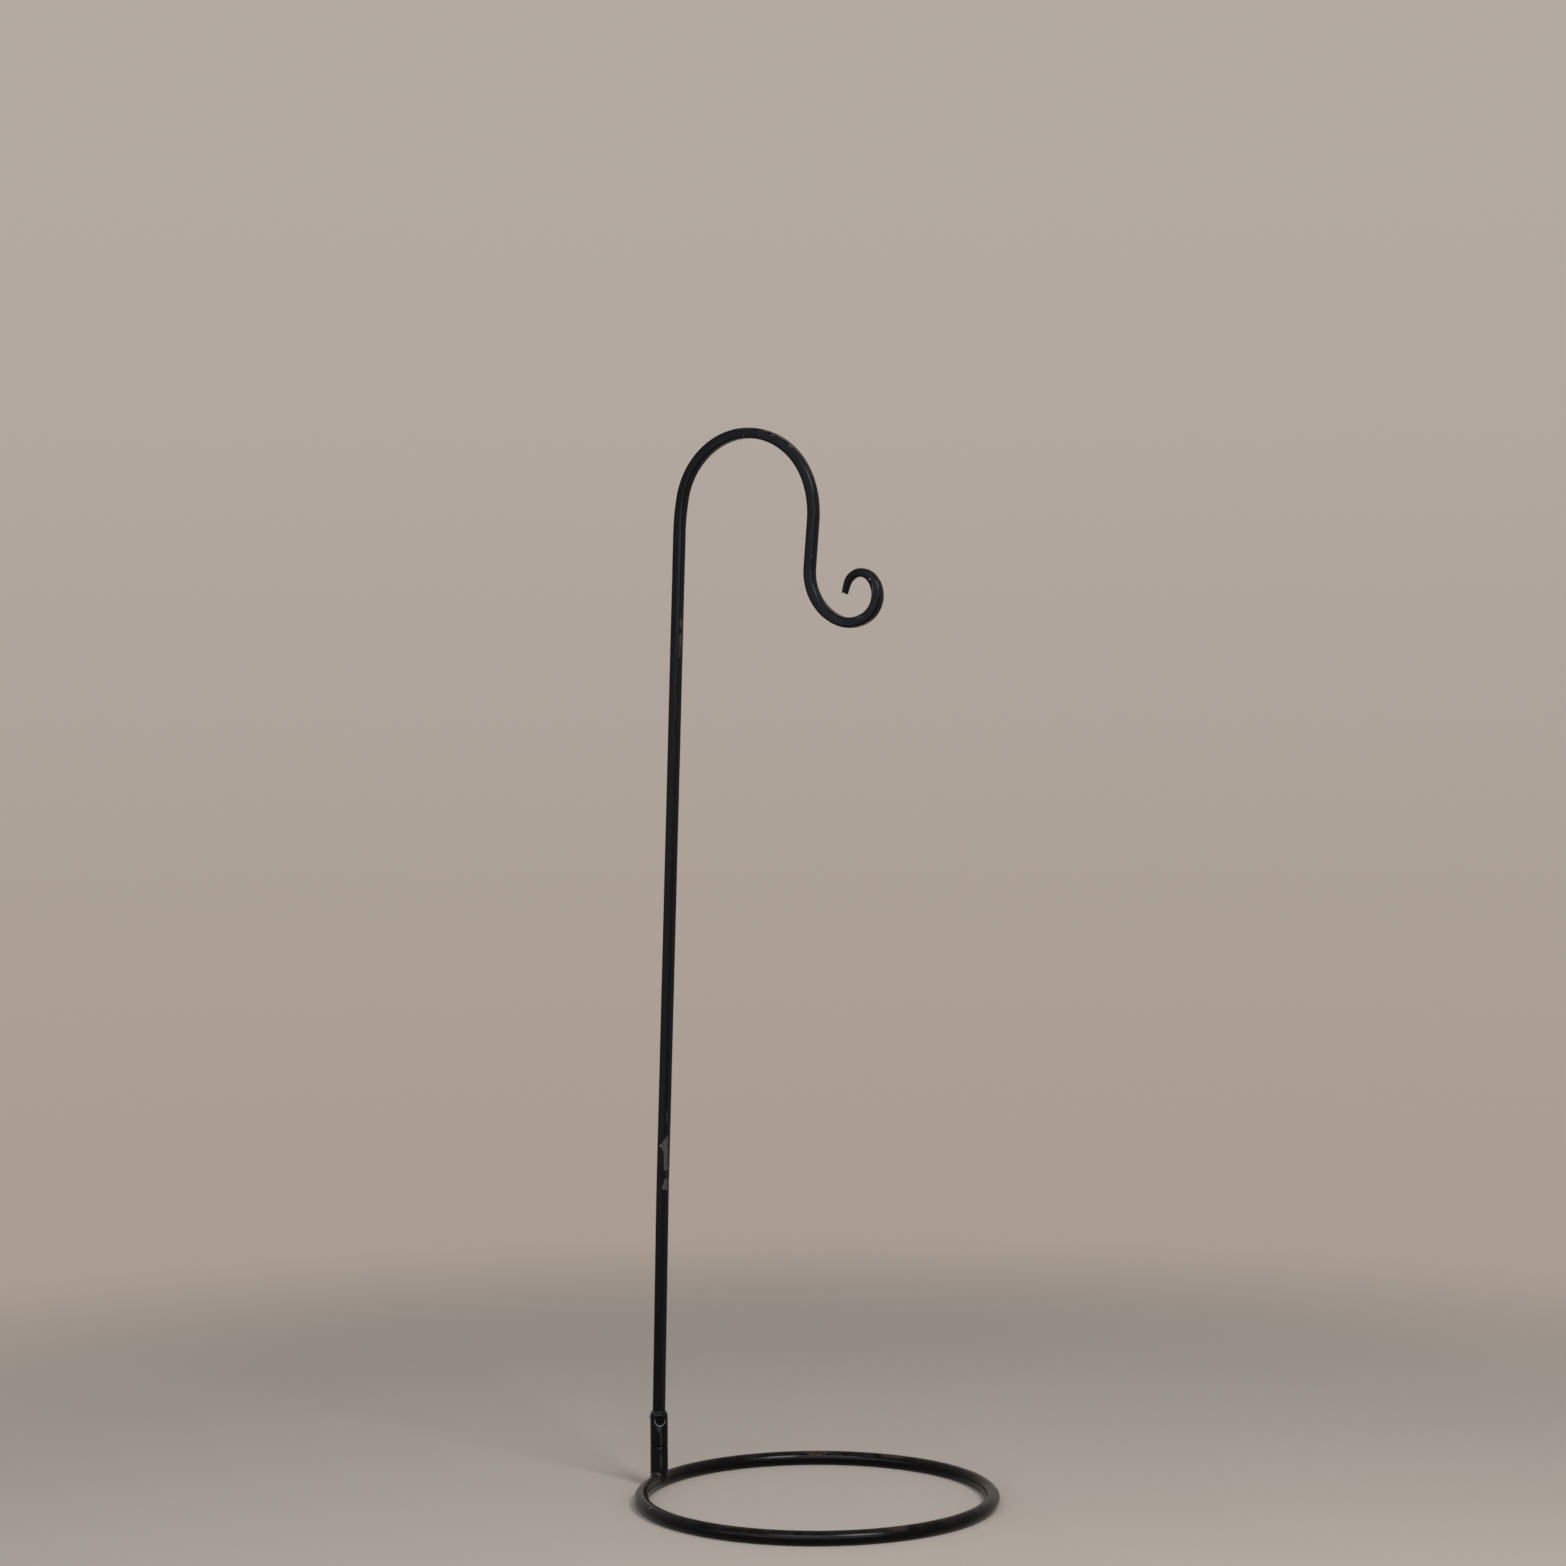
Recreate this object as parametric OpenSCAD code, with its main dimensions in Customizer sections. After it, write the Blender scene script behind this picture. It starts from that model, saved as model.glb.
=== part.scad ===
// Hanging plant stand: a ring foot, a swivelling take-down joint and a hook bent from square bar.
// Origin at the ring's centre on the floor, +Z up. The post stands on the ring at -X, and the hook
// reaches back over the ring, turned a little on its pin. Millimetres.

/* [Ring] */
// Radius of the ring, to the middle of its bar
ring_r = 97.5; // [80:0.5:130]
// Diameter of the ring's round bar
ring_bar_d = 8; // [6:0.5:12]

/* [Stub and pin] */
// Diameter of the stub that stands on the ring
stub_d = 10; // [9:0.5:14]
// Height of the stub's shoulder above the floor
stub_top = 24; // [18:0.5:40]
// How far the stub's lips reach down beside the ring's bar
saddle_depth = 3; // [1.5:0.1:4]
// Bevel round the stub's shoulder
stub_bevel = 0.45; // [0.2:0.05:1]
// Diameter of the pin inside the sleeve
pin_d = 6; // [5:0.1:7]
// Diameter of the pin at the bottom of its groove
neck_d = 3; // [2.4:0.1:3.6]

/* [Sleeve] */
// Outer diameter of the sleeve
sleeve_d = 10; // [9.5:0.1:14]
// Length of the sleeve
sleeve_h = 18; // [12:0.5:30]
// Rounding of the sleeve's lower outer edge
sleeve_round = 0.6; // [0.2:0.05:1]
// Bevel of the sleeve's upper outer edge, filled by the weld
sleeve_bevel = 0.9; // [0.4:0.05:1.2]

/* [Swivel] */
// How far the hook stands turned on its pin, from straight across the ring
hook_turn = -7; // [-180:1:180]

/* [Set screw] */
// Thread diameter of the set screw
screw_d = 5; // [4:0.1:5.4]
// Length of the set screw with its point
screw_len = 3; // [2.6:0.1:3.3]
// Diameter of the screw's point
point_d = 3.5; // [2.5:0.1:3.7]
// Length of the screw's point
point_len = 1.5; // [1:0.1:1.6]
// Width across the flats of the hexagon in the screw's end
hex_w = 2.5; // [1.5:0.1:3]
// Depth of the hexagon
hex_depth = 1.2; // [0.6:0.1:2]
// How far the screw's centre lies below the sleeve's top
screw_drop = 3.2; // [3:0.1:6]
// Direction the screw faces, turned from the hook's reach
screw_azimuth = -50; // [-180:1:180]
// Width of the countersink at the mouth of the screw's hole
sink_d = 6.4; // [5.8:0.1:7]

/* [Post] */
// Overall height of the stand
stand_h = 598.5; // [400:0.5:800]
// Side of the square bar
bar_w = 6; // [5.8:0.05:7]
// Rounding of the bar's four corners
bar_corner = 0.9; // [0.6:0.05:1.5]
// Radius of the slight bend just above the sleeve
foot_bend_r = 200; // [100:10:400]
// Lean of the lower part of the post towards the ring's centre
foot_lean = 1.4; // [0.5:0.1:3]
// Length of the lower part
lower_run = 110; // [40:1:200]
// Radius of the slow bend between the lower and upper parts
knee_r = 1500; // [500:50:3000]
// Lean of the upper part of the post
post_lean = 2.05; // [1.5:0.05:4]

/* [Arch] */
// Radius where the post starts to bend over
arch_in_r = 142; // [80:1:200]
// Turn made at that radius
arch_in_turn = 7.9; // [4:0.1:20]
// Radius over the top of the arch
arch_r = 42.8; // [30:0.1:60]
// Radius where the arch comes down to the limb
arch_out_r = 51.8; // [40:0.2:80]
// Turn made at that radius
arch_out_turn = 23.3; // [10:0.1:40]
// How far the limb slopes back under the arch
limb_lean = 4.95; // [0:0.05:10]
// Straight length of the limb
limb_len = 26; // [10:0.5:60]

/* [Cradle] */
// Radius of the first bend below the limb
cradle_r = 28.9; // [20:0.1:40]
// Turn made at that radius
cradle_turn = 75.2; // [40:0.1:90]
// Radius of the bend under the cradle
belly_r = 19.7; // [15:0.1:28]
// Turn made at that radius
belly_turn = 51.4; // [30:0.1:65]
// Radius of the bend that comes up towards the scroll
rise_r = 13.9; // [12:0.1:20]
// Turn made at that radius before the bar starts to taper
rise_turn = 54.6; // [40:0.1:80]

/* [Scroll] */
// Turn made at the same radius while the bar starts to taper
taper_turn = 48; // [30:1:60]
// Radius of the scroll's closing bend
scroll_r = 9.1; // [7:0.1:12]
// Turn made at that radius
scroll_turn = 119.3; // [90:0.1:140]
// Straight length at the tip
tip_len = 4.9; // [3:0.1:7]
// Side of the bar at its tip
tip_w = 3.4; // [2.5:0.1:5]
// How late the bar thins: 1 is even, more is later
taper_power = 1.5; // [1:0.1:2.5]

/* [Welds] */
// Leg of the weld round the stub's foot
foot_bead = 3; // [1.5:0.1:4]
// How far that weld stands out from the ring's bar
foot_bead_over = 2.4; // [1:0.1:3]
// How far it stands out from the stub's lips
foot_bead_lip = 0.9; // [0.4:0.1:1.5]
// Rounding radius of the domed weld between sleeve and bar
dome_r = 2.6; // [2:0.1:3]

/* [Fits] */
// Air under the sleeve where it rests on the stub's shoulder
seat_gap = 0.2; // [0.1:0.05:0.4]
// Radial clearance between pin and sleeve
pin_clear = 0.05; // [0.02:0.01:0.1]
// Radial clearance round the set screw
thread_clear = 0.05; // [0.02:0.01:0.1]
// Clearance above the pin and on both sides of the screw's point
end_clear = 0.25; // [0.15:0.05:0.4]
// Clearance between the screw's point and the bottom of the groove
point_clear = 0.1; // [0.05:0.05:0.3]
// Air between surfaces that are only joined by weld
seam = 0.05; // [0.02:0.01:0.1]

/* [Hidden] */
$fn = 96;

paint = [0.11, 0.115, 0.125];
weld_paint = [0.17, 0.17, 0.175];
screw_steel = [0.05, 0.05, 0.055];

ring_bar_r = ring_bar_d / 2;
stub_foot = ring_bar_d - saddle_depth;
sleeve_z = stub_top + seat_gap;
sleeve_top = sleeve_z + sleeve_h;
screw_z = sleeve_top - screw_drop;
pin_top = sleeve_top - end_clear;
pin_bevel = 0.3;
neck_h = point_d + 2 * end_clear;
point_r = neck_d / 2 + point_clear;
screw_bevel = 0.3;
cut = 1;                                // how far a cutting shape runs past what it cuts

// The bar's centreline in the hook's own plane, as straight runs and bends. A run is
// [bend radius, turn, length]. Turns are in degrees, positive to the left of the way it goes.
function straight(length) = [0, 0, length];
function bend(radius, turn) = [radius, turn, radius * abs(turn) * PI / 180];

// A place on the centreline is [x, z, heading], with x measured from the post's axis the way the
// hook reaches, and the heading from +X towards +Z.
// A negative length steps back along the same bend.
function after(place, run) =
    let (side = sign(run[1] * run[2]), h = place[2], turned = place[2] + run[1])
    run[0] == 0
        ? [place[0] + run[2] * cos(h), place[1] + run[2] * sin(h), h]
        : [place[0] + side * run[0] * (sin(turned) - sin(h)),
           place[1] - side * run[0] * (cos(turned) - cos(h)),
           turned];
function part_of(run, length) = [run[0], run[1] * length / run[2], length];
function place_at(place, runs, n) = n == 0 ? place : after(place_at(place, runs, n - 1), runs[n - 1]);
function along(place, runs, length, n = 0) =
    n == len(runs) - 1 || length <= runs[n][2]
        ? after(place, part_of(runs[n], length))
        : along(after(place, runs[n]), runs, length - runs[n][2], n + 1);
function total(runs, n = 0) = n == len(runs) ? 0 : runs[n][2] + total(runs, n + 1);

bar_foot = [0, sleeve_top, 90];
foot_runs = [
    bend(foot_bend_r, -foot_lean),
    straight(lower_run),
    bend(knee_r, foot_lean - post_lean)
];
upper_foot = place_at(bar_foot, foot_runs, len(foot_runs));

// The upper run is as long as the overall height leaves it below the arch.
arch_heading = 90 - post_lean - arch_in_turn;
arch_rise = arch_in_r * (cos(arch_heading) - sin(post_lean)) + arch_r * (1 - cos(arch_heading));
upper_run = (stand_h - bar_w / 2 - arch_rise - upper_foot[1]) / cos(post_lean);
arch_turn = 180 + limb_lean - post_lean - arch_in_turn - arch_out_turn;

even_runs = concat(foot_runs, [
    straight(upper_run),
    bend(arch_in_r, -arch_in_turn),
    bend(arch_r, -arch_turn),
    bend(arch_out_r, -arch_out_turn),
    straight(limb_len),
    bend(cradle_r, cradle_turn),
    bend(belly_r, belly_turn),
    bend(rise_r, rise_turn)
]);
taper_foot = place_at(bar_foot, even_runs, len(even_runs));
taper_runs = [
    bend(rise_r, taper_turn),
    bend(scroll_r, scroll_turn),
    straight(tip_len)
];

// The tapered end is a skin over rings of points.
taper_rings = 30;
corner_steps = 4;
ring_points = 4 * (corner_steps + 1);
taper_root = 0.4;                       // length that lies inside the even bar
root_inset = 0.03;                      // how much slimmer the skin starts than the even bar
tip_softness = 0.62;                    // corner rounding at the tip, as a share of half the side

function taper_w(share) = bar_w - root_inset - (bar_w - root_inset - tip_w) * pow(share, taper_power);
function corner_share(share) = 2 * bar_corner / bar_w * (1 - share) + tip_softness * share;
function corner_point(half, r, k) =
    let (quarter = floor(k / (corner_steps + 1)), step = k % (corner_steps + 1))
    let (a = 90 * quarter + 90 * step / corner_steps, middle = 90 * quarter + 45)
    [(half - r) * sign(cos(middle)) + r * cos(a), (half - r) * sign(sin(middle)) + r * sin(a)];
function ring_at(place, half, r) = [
    for (k = [0 : ring_points - 1])
        let (p = corner_point(half, r, k))
        [place[0] + p[0] * sin(place[2]), p[1], place[1] - p[0] * cos(place[2])]
];

// ---- shapes that repeat ----

module torus(ring_radius, bar_radius) {
    rotate_extrude($fn = 180)
        translate([ring_radius, 0])
            circle(r = bar_radius);
}

module ring_shape(grow = 0) {
    translate([0, 0, ring_bar_r])
        torus(ring_r, ring_bar_r + grow);
}

module at_post() {
    translate([-ring_r, 0, 0])
        children();
}

module as_hook_stands() {
    at_post()
        rotate([0, 0, hook_turn])
            children();
}

module facing_screw() {
    as_hook_stands()
        translate([0, 0, screw_z])
            rotate([0, 90, screw_azimuth])
                children();
}

module bar_section() {
    inner = bar_w - 2 * bar_corner;
    square([bar_w, inner], center = true);
    square([inner, bar_w], center = true);
    for (x = [-1, 1], y = [-1, 1])
        translate([x * inner / 2, y * inner / 2])
            circle(r = bar_corner, $fn = 48);
}

module bar_run(place, run) {
    if (run[0] == 0) {
        translate([place[0], 0, place[1]])
            rotate([0, 90 - place[2], 0])
                linear_extrude(run[2])
                    bar_section();
    } else {
        side = sign(run[1]);
        from = place[2] - 90 * side;
        translate([place[0] - side * run[0] * sin(place[2]), 0, place[1] + side * run[0] * cos(place[2])])
            rotate([90, 0, 0])
                rotate([0, 0, min(from, from + run[1])])
                    rotate_extrude(angle = abs(run[1]), $fn = 180)
                        translate([run[0], 0])
                            bar_section();
    }
}

// Two runs meet face to face. The core lies inside both, so that they are one solid at any size.
module run_core(place) {
    translate([place[0], 0, place[1]])
        rotate([0, 90 - place[2], 0])
            cube(bar_w / 2, center = true);
}

module tapered_end() {
    length = total(taper_runs);
    rings = [
        for (i = [0 : taper_rings])
            let (s = -taper_root + (length + taper_root) * i / taper_rings, share = max(s, 0) / length)
            let (half = taper_w(share) / 2)
            ring_at(along(taper_foot, taper_runs, s), half, half * corner_share(share))
    ];
    points = [for (one = rings) each one];
    last = taper_rings * ring_points;
    sides = [
        for (i = [0 : taper_rings - 1], k = [0 : ring_points - 1])
            let (a = i * ring_points + k, b = i * ring_points + (k + 1) % ring_points)
            each [[a, b + ring_points, b], [a, a + ring_points, b + ring_points]]
    ];
    root_cap = [for (k = [0 : ring_points - 1]) k];
    tip_cap = [for (k = [0 : ring_points - 1]) last + ring_points - 1 - k];
    polyhedron(points = points, faces = concat(sides, [root_cap, tip_cap]));
}

// ---- pieces ----

module base_ring() {
    color(paint)
        ring_shape();
}

module base_stub() {
    color(paint)
        difference() {
            at_post() {
                rotate_extrude()
                    polygon([
                        [0, stub_foot],
                        [stub_d / 2, stub_foot],
                        [stub_d / 2, stub_top - stub_bevel],
                        [stub_d / 2 - stub_bevel, stub_top],
                        [pin_d / 2, stub_top],
                        [pin_d / 2, screw_z - neck_h / 2],
                        [neck_d / 2, screw_z - neck_h / 2],
                        [neck_d / 2, screw_z + neck_h / 2],
                        [pin_d / 2, screw_z + neck_h / 2],
                        [pin_d / 2, pin_top - pin_bevel],
                        [pin_d / 2 - pin_bevel, pin_top],
                        [0, pin_top]
                    ]);
            }
            ring_shape(grow = seam);
        }
}

// The bead fills the corner near both the stub and the ring's bar.
module stub_weld() {
    inner_r = stub_d / 2 + seam;
    color(weld_paint)
        difference() {
            intersection() {
                ring_shape(grow = foot_bead_over);
                at_post()
                    rotate_extrude()
                        polygon([
                            [inner_r, stub_foot],
                            [inner_r + foot_bead_lip, stub_foot],
                            [inner_r + foot_bead, ring_bar_d],
                            [inner_r, ring_bar_d + foot_bead]
                        ]);
            }
            ring_shape(grow = seam);
        }
}

module hook_sleeve() {
    outer = sleeve_d / 2;
    bore = pin_d / 2 + pin_clear;
    hole_r = screw_d / 2 + thread_clear;
    sink = sink_d / 2 - hole_r;
    color(paint)
        difference() {
            at_post()
                rotate_extrude() {
                    difference() {
                        polygon([
                            [bore, sleeve_z],
                            [outer, sleeve_z],
                            [outer, sleeve_top - sleeve_bevel],
                            [outer - sleeve_bevel, sleeve_top],
                            [bore, sleeve_top]
                        ]);
                        translate([outer - sleeve_round, sleeve_z])
                            difference() {
                                translate([0, -cut])
                                    square([sleeve_round + cut, sleeve_round + cut]);
                                translate([0, sleeve_round])
                                    circle(r = sleeve_round);
                            }
                    }
                }
            facing_screw()
                cylinder(r = hole_r, h = outer + cut);
            facing_screw()
                translate([0, 0, outer - sink])
                    cylinder(r1 = hole_r, r2 = hole_r + sink + cut, h = sink + cut);
        }
}

// The dome starts at the foot of the sleeve's bevel and rises to the bar's flats.
module sleeve_weld() {
    outer = sleeve_d / 2;
    dome_z = sleeve_top - sleeve_bevel;
    color(weld_paint)
        as_hook_stands()
            difference() {
                rotate_extrude()
                    intersection() {
                        polygon([
                            [0, sleeve_top + seam],
                            [outer - sleeve_bevel, sleeve_top + seam],
                            [outer, dome_z + seam],
                            [outer, dome_z + dome_r],
                            [0, dome_z + dome_r]
                        ]);
                        union() {
                            square([outer - dome_r, dome_z + dome_r]);
                            translate([outer - dome_r, dome_z])
                                circle(r = dome_r);
                        }
                    }
                translate([0, 0, sleeve_top - cut])
                    linear_extrude(dome_r + 2 * cut)
                        square(bar_w + 2 * seam, center = true);
            }
}

module set_screw() {
    thread_r = screw_d / 2;
    color(screw_steel)
        facing_screw()
            translate([0, 0, point_r])
                difference() {
                    rotate_extrude()
                        polygon([
                            [0, 0],
                            [point_d / 2 - screw_bevel, 0],
                            [point_d / 2, screw_bevel],
                            [point_d / 2, point_len],
                            [thread_r, point_len],
                            [thread_r, screw_len - screw_bevel],
                            [thread_r - screw_bevel, screw_len],
                            [0, screw_len]
                        ]);
                    translate([0, 0, screw_len - hex_depth])
                        cylinder(d = hex_w / cos(30), h = hex_depth + cut, $fn = 6);
                }
}

module hook_bar() {
    color(paint)
        as_hook_stands() {
            for (n = [0 : len(even_runs) - 1])
                bar_run(place_at(bar_foot, even_runs, n), even_runs[n]);
            for (n = [1 : len(even_runs) - 1])
                run_core(place_at(bar_foot, even_runs, n));
            tapered_end();
        }
}

base_ring();
base_stub();
stub_weld();
hook_sleeve();
sleeve_weld();
set_screw();
hook_bar();
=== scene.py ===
"""Hanging plant stand: a ring foot, a take-down socket and a hook bent from square bar.

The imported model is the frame. Every visible piece is modelled again here in finer form, on the
same axes and inside the same box, painted satin black and worn as old bar work wears.
"""

import math
import random
from contextlib import contextmanager

import bmesh
import bpy
from mathutils import Matrix, Vector
from mathutils.kdtree import KDTree


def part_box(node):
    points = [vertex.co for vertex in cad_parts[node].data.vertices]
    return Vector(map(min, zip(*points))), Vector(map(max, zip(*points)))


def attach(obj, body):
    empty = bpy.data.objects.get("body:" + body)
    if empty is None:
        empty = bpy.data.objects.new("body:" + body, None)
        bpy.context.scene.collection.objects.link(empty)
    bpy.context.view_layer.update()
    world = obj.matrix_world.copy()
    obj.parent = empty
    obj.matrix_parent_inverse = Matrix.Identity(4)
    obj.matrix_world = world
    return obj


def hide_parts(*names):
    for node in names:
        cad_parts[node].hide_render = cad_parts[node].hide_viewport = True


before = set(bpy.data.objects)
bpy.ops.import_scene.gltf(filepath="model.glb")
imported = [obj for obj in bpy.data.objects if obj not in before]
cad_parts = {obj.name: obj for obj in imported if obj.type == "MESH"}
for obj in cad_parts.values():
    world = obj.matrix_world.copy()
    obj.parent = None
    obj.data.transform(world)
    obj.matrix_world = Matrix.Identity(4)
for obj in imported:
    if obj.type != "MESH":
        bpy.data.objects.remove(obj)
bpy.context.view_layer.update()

MM = 0.001
random.seed(11)

# ---- sizes: taken from the frame where it gives them, otherwise the same as the construction's ----

bar_low, bar_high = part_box("hook_bar")
ring_low, ring_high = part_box("base_ring")
RING_BAR_R = ring_high.z / 2
RING_R = ring_high.x - RING_BAR_R

stub_low, stub_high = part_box("base_stub")
POST_X = (stub_low.x + stub_high.x) / 2
STUB_R = (stub_high.x - stub_low.x) / 2
STUB_FOOT = stub_low.z
PIN_TOP = stub_high.z
STUB_BEVEL = 0.45 * MM
PIN_R = 3.0 * MM
PIN_BEVEL = 0.3 * MM
NECK_R = 1.5 * MM
NECK_H = 4.0 * MM
SEAM = 0.05 * MM

sleeve_low, sleeve_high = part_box("hook_sleeve")
SLEEVE_R = (sleeve_high.x - sleeve_low.x) / 2
SLEEVE_Z = sleeve_low.z
SLEEVE_TOP = sleeve_high.z
SLEEVE_ROUND = 0.6 * MM
SLEEVE_BEVEL = 0.9 * MM
BORE_R = PIN_R + 0.05 * MM
STUB_TOP = SLEEVE_Z - 0.2 * MM

SCREW_Z = SLEEVE_TOP - 3.2 * MM
SCREW_AZIMUTH = math.radians(-57)
SCREW_R = 2.5 * MM
SCREW_HOLE_R = 2.55 * MM
SCREW_SINK_R = 3.2 * MM
SINK_DEPTH = 0.42 * MM
SCREW_START = 1.6 * MM
SCREW_LEN = 3.0 * MM
SCREW_POINT_R = 1.75 * MM
SCREW_POINT_LEN = 1.5 * MM
SCREW_BEVEL = 0.3 * MM
THREAD_DEPTH = 0.4 * MM
HEX_W = 2.5 * MM
HEX_DEPTH = 1.2 * MM

HOOK_TURN = math.radians(-7)
BAR_W = 6.0 * MM
BAR_CORNER = 1.4 * MM
TIP_W = 3.4 * MM
TAPER_POWER = 1.5
FOOT_BEND_R = 200 * MM
FOOT_RUN = 110 * MM
FOOT_LEAN = 1.4
POST_BEND_R = 1500 * MM
POST_LEAN = 2.05
ARCH_IN_R = 142 * MM
ARCH_IN_TURN = 7.9
ARCH_R = 42.8 * MM
ARCH_OUT_R = 51.8 * MM
ARCH_OUT_TURN = 23.3
LIMB_RUN = 26 * MM
LIMB_LEAN = 4.95
CRADLE_IN_R = 28.9 * MM
CRADLE_IN_TURN = 75.2
CRADLE_R = 19.7 * MM
CRADLE_TURN = 51.4
SCROLL_R = 13.9 * MM
SCROLL_TURN = 54.6
TAPER_TURN = 48
CURL_R = 9.1 * MM
CURL_TURN = 119.3
TIP_RUN = 4.9 * MM


# ---- the bar's centreline, in an XZ plane through the post before the hook is turned on its pin ----
# A run is (bend radius, turn in degrees, length), and a turn is positive to the left of the way it
# goes. A place is (x, z, heading in degrees from +X towards +Z).

def straight(length):
    return 0.0, 0.0, length


def bend(radius, turn):
    return radius, turn, radius * math.radians(abs(turn))


def centre_of(place, run):
    x, z, heading = place
    side = math.copysign(1, run[1])
    h = math.radians(heading)
    return x - side * run[0] * math.sin(h), z + side * run[0] * math.cos(h)


def after(place, run, share=1.0):
    x, z, heading = place
    radius, turn, length = run
    h = math.radians(heading)
    if not radius:
        return x + share * length * math.cos(h), z + share * length * math.sin(h), heading
    cx, cz = centre_of(place, run)
    side = math.copysign(1, turn)
    now = math.radians(heading + share * turn)
    return cx + side * radius * math.sin(now), cz - side * radius * math.cos(now), heading + share * turn


def place_after(place, runs):
    for run in runs:
        place = after(place, run)
    return place


BAR_FOOT = (POST_X, SLEEVE_TOP, 90.0)
foot_runs = [
    bend(FOOT_BEND_R, -FOOT_LEAN),
    straight(FOOT_RUN),
    bend(POST_BEND_R, FOOT_LEAN - POST_LEAN),
]
arch_heading = math.radians(90 - POST_LEAN - ARCH_IN_TURN)
arch_rise = (ARCH_IN_R * (math.cos(arch_heading) - math.sin(math.radians(POST_LEAN)))
             + ARCH_R * (1 - math.cos(arch_heading)))
upper_run = ((bar_high.z - BAR_W / 2 - arch_rise - place_after(BAR_FOOT, foot_runs)[1])
             / math.cos(math.radians(POST_LEAN)))
arch_turn = 180 + LIMB_LEAN - POST_LEAN - ARCH_IN_TURN - ARCH_OUT_TURN

even_runs = foot_runs + [
    straight(upper_run),
    bend(ARCH_IN_R, -ARCH_IN_TURN),
    bend(ARCH_R, -arch_turn),
    bend(ARCH_OUT_R, -ARCH_OUT_TURN),
    straight(LIMB_RUN),
    bend(CRADLE_IN_R, CRADLE_IN_TURN),
    bend(CRADLE_R, CRADLE_TURN),
    bend(SCROLL_R, SCROLL_TURN),
]
taper_runs = [bend(SCROLL_R, TAPER_TURN), bend(CURL_R, CURL_TURN), straight(TIP_RUN)]
even_length = sum(run[2] for run in even_runs)
taper_length = sum(run[2] for run in taper_runs)


def bar_width(along):
    share = max(along - even_length, 0) / taper_length
    return BAR_W - (BAR_W - TIP_W) * share ** TAPER_POWER


# ---- the bench: small helpers for modelling with operators ----

def select_only(*pieces):
    bpy.ops.object.select_all(action="DESELECT")
    for piece in pieces:
        piece.select_set(True)
    bpy.context.view_layer.objects.active = pieces[0]


@contextmanager
def bench(piece):
    """Edit mode on one piece, with nothing selected to begin with."""
    select_only(piece)
    bpy.ops.object.mode_set(mode="EDIT")
    bpy.ops.mesh.select_mode(type="VERT")
    bpy.ops.mesh.select_all(action="DESELECT")
    yield
    bpy.ops.object.mode_set(mode="OBJECT")


def pick(piece, parts, test):
    """Selects the verts, edges or faces that pass the test, and nothing else."""
    bpy.ops.mesh.select_mode(type={"verts": "VERT", "edges": "EDGE", "faces": "FACE"}[parts])
    bpy.ops.mesh.select_all(action="DESELECT")
    mesh = bmesh.from_edit_mesh(piece.data)
    for one in getattr(mesh, parts):
        if test(one):
            one.select_set(True)
    bmesh.update_edit_mesh(piece.data)


def name_new(name):
    """Names the primitive that was just added and applies its place, so that edits are in the frame."""
    piece = bpy.context.active_object
    piece.name = name
    piece.data.name = name
    select_only(piece)
    bpy.ops.object.transform_apply(location=True, rotation=True, scale=True)
    return piece


def stand_as_hook(piece):
    """Turns a piece that was made straight across the ring to where the hook stands on its pin."""
    post = Matrix.Translation((POST_X, 0, 0))
    piece.matrix_world = post @ Matrix.Rotation(HOOK_TURN, 4, "Z") @ post.inverted()
    select_only(piece)
    bpy.ops.object.transform_apply(location=True, rotation=True, scale=True)


def apply_modifier(piece, kind, **settings):
    select_only(piece)
    modifier = piece.modifiers.new(kind.lower(), kind)
    for name, value in settings.items():
        setattr(modifier, name, value)
    bpy.ops.object.modifier_apply(modifier=modifier.name)


def cut_away(piece, *tools):
    """Cuts the tools' shapes out of the piece, and puts the tools away."""
    for tool in tools:
        apply_modifier(piece, "BOOLEAN", operation="DIFFERENCE", solver="EXACT", object=tool)
        bpy.data.objects.remove(tool)


MERGE_REACH = 0.002 * MM


def close_up(piece):
    """Merges doubles and turns every face outwards."""
    with bench(piece):
        bpy.ops.mesh.select_all(action="SELECT")
        bpy.ops.mesh.remove_doubles(threshold=MERGE_REACH)
        bpy.ops.mesh.normals_make_consistent(inside=False)


def smooth(piece, angle=35):
    select_only(piece)
    bpy.ops.object.shade_smooth_by_angle(angle=math.radians(angle))


def unevenness(piece, depth, scale, group=""):
    """Lets the surface fall back a little here and there, and never stand proud."""
    clouds = bpy.data.textures.new(piece.name + "_unevenness", "CLOUDS")
    clouds.noise_scale = scale
    clouds.noise_depth = 1
    apply_modifier(piece, "DISPLACE", texture=clouds, texture_coords="LOCAL", direction="NORMAL",
                   mid_level=1.0, strength=depth, vertex_group=group)


def draw_up(profile, axis_x):
    """Carries the selected circle on along a profile, about an upright axis."""
    for (r, z), (next_r, next_z) in zip(profile, profile[1:]):
        bpy.ops.mesh.extrude_region_move(TRANSFORM_OT_translate={"value": (0, 0, next_z - z)})
        share = next_r / r
        bpy.ops.transform.resize(value=(share, share, 1), center_override=(axis_x, 0, next_z))


def turned(name, profile, sides=96, hollow=False):
    """A piece turned on the post's axis. The profile is (radius, height) from one end to the other."""
    first_r, first_z = profile[0]
    bpy.ops.mesh.primitive_circle_add(vertices=sides, radius=first_r, location=(POST_X, 0, first_z),
                                      fill_type="NOTHING" if hollow else "NGON")
    piece = name_new(name)
    with bench(piece):
        bpy.ops.mesh.select_all(action="SELECT")
        draw_up(profile, POST_X)
    close_up(piece)
    return piece


ROUNDING_STEPS = 6


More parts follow.
